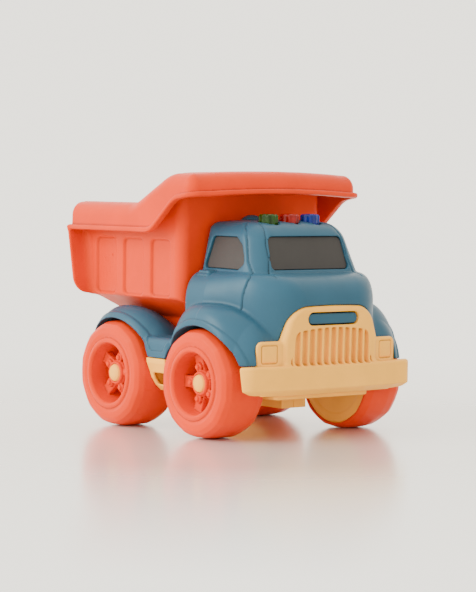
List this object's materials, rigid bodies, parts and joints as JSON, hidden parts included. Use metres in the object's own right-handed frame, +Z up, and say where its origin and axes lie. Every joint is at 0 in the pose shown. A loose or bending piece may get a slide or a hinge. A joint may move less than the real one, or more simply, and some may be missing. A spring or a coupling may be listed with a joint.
{
  "type": "toy dump truck",
  "caption": "Chunky friction-powered toy dump truck with a tilting open-tailed bed whose canopy covers the cab, big wheels, a barred grille and push buttons on the cab roof.",
  "frame": {"origin": "on the ground under the middle of the truck, halfway between bumper and tail", "axes": "+X forwards, towards the bumper; +Y to the truck's left; +Z up"},
  "size_m": [0.22, 0.168, 0.1932],
  "materials": {
    "cream_plastic": "satin moulded plastic, warm cream",
    "coral_plastic": "satin moulded plastic, coral orange",
    "blue_plastic": "satin moulded plastic, dusty blue",
    "grey_glazing": "opaque warm grey pane, fine matt",
    "white_nylon": "natural nylon",
    "black_plastic": "black moulded plastic",
    "button_green": "glossy translucent green",
    "button_red": "glossy translucent red",
    "button_blue": "glossy translucent blue",
    "circuit_board": "green solder mask",
    "lamp_resin": "milky clear resin",
    "battery_sleeve": "printed film sleeve without lettering",
    "contact_metal": "plated spring brass",
    "red_wire": "insulation",
    "black_wire": "insulation",
    "steel": "zinc plated"
  },
  "bodies": {
    "truck_body": {"battery_cell_1": "battery_sleeve", "battery_cell_2": "battery_sleeve", "battery_cell_3": "battery_sleeve", "battery_contact_left": "contact_metal", "battery_contact_right": "contact_metal", "battery_door": "cream_plastic", "battery_door_screw": "steel", "battery_wire": "red_wire", "bed_hinge_pin": "steel", "board_screw_left": "steel", "board_screw_right": "steel", "button_board": "circuit_board", "cab_and_fender_body": "blue_plastic", "chassis_screw_1": "steel", "chassis_screw_2": "steel", "chassis_screw_3": "steel", "chassis_screw_4": "steel", "chassis_screw_5": "steel", "chassis_screw_6": "steel", "chassis_tray": "cream_plastic", "flywheel_pin": "steel", "front_bumper_and_grille": "cream_plastic", "gearbox_left": "cream_plastic", "gearbox_right": "cream_plastic", "idler_pin": "steel", "lamp_blue": "lamp_resin", "lamp_green": "lamp_resin", "lamp_red": "lamp_resin", "power_switch_body": "steel", "side_window_left": "grey_glazing", "side_window_right": "grey_glazing", "speaker": "black_plastic", "speaker_wire": "black_wire", "windscreen": "grey_glazing"},
    "front_wheelset": {"front_axle": "steel", "axle_gear": "white_nylon", "front_left_hub_cap": "cream_plastic", "front_left_wheel": "coral_plastic", "front_left_wheel_disc": "cream_plastic", "front_right_hub_cap": "cream_plastic", "front_right_wheel": "coral_plastic", "front_right_wheel_disc": "cream_plastic"},
    "rear_wheelset": {"rear_axle": "steel", "rear_left_hub_cap": "cream_plastic", "rear_left_wheel": "coral_plastic", "rear_left_wheel_disc": "cream_plastic", "rear_right_hub_cap": "cream_plastic", "rear_right_wheel": "coral_plastic", "rear_right_wheel_disc": "cream_plastic"},
    "idler": {"idler_gear": "white_nylon"},
    "flywheel": {"flywheel": "steel", "flywheel_pinion": "white_nylon"},
    "dump_bed": {"dump_bed": "coral_plastic"},
    "button_green": {"button_green": "button_green"},
    "button_red": {"button_red": "button_red"},
    "button_blue": {"button_blue": "button_blue"},
    "power_switch": {"power_switch_knob": "black_plastic"}
  },
  "joints": [
    {"name": "front_wheels_spin", "type": "hinge", "parent": "truck_body", "child": "front_wheelset", "pos_m": [0.0506, 0, 0.04], "axis": [0, 1, 0], "continuous": true},
    {"name": "rear_wheels_spin", "type": "hinge", "parent": "truck_body", "child": "rear_wheelset", "pos_m": [-0.0532, 0, 0.04], "axis": [0, 1, 0], "continuous": true},
    {"name": "idler_spin", "type": "hinge", "parent": "truck_body", "child": "idler", "pos_m": [0.0378, 0, 0.04], "axis": [0, 1, 0], "continuous": true},
    {"name": "flywheel_spin", "type": "hinge", "parent": "truck_body", "child": "flywheel", "pos_m": [0.02731, 0, 0.03266], "axis": [0, 1, 0], "continuous": true},
    {"name": "bed_tilt", "type": "hinge", "parent": "truck_body", "child": "dump_bed", "pos_m": [-0.086, 0, 0.076], "axis": [0, -1, 0], "range_deg": [0, 50]},
    {"name": "button_green_press", "type": "slide", "parent": "truck_body", "child": "button_green", "axis": [0, 0, -1], "range_m": [0, 0.0015], "stiffness_N_per_m": 350},
    {"name": "button_red_press", "type": "slide", "parent": "truck_body", "child": "button_red", "axis": [0, 0, -1], "range_m": [0, 0.0015], "stiffness_N_per_m": 350},
    {"name": "button_blue_press", "type": "slide", "parent": "truck_body", "child": "button_blue", "axis": [0, 0, -1], "range_m": [0, 0.0015], "stiffness_N_per_m": 350},
    {"name": "power_switch_slide", "type": "slide", "parent": "truck_body", "child": "power_switch", "axis": [1, 0, 0], "range_m": [0, 0.004]}
  ],
  "couplings": [
    {"joint": "idler_spin", "follows": "front_wheels_spin", "ratio": -3},
    {"joint": "flywheel_spin", "follows": "front_wheels_spin", "ratio": 9}
  ]
}
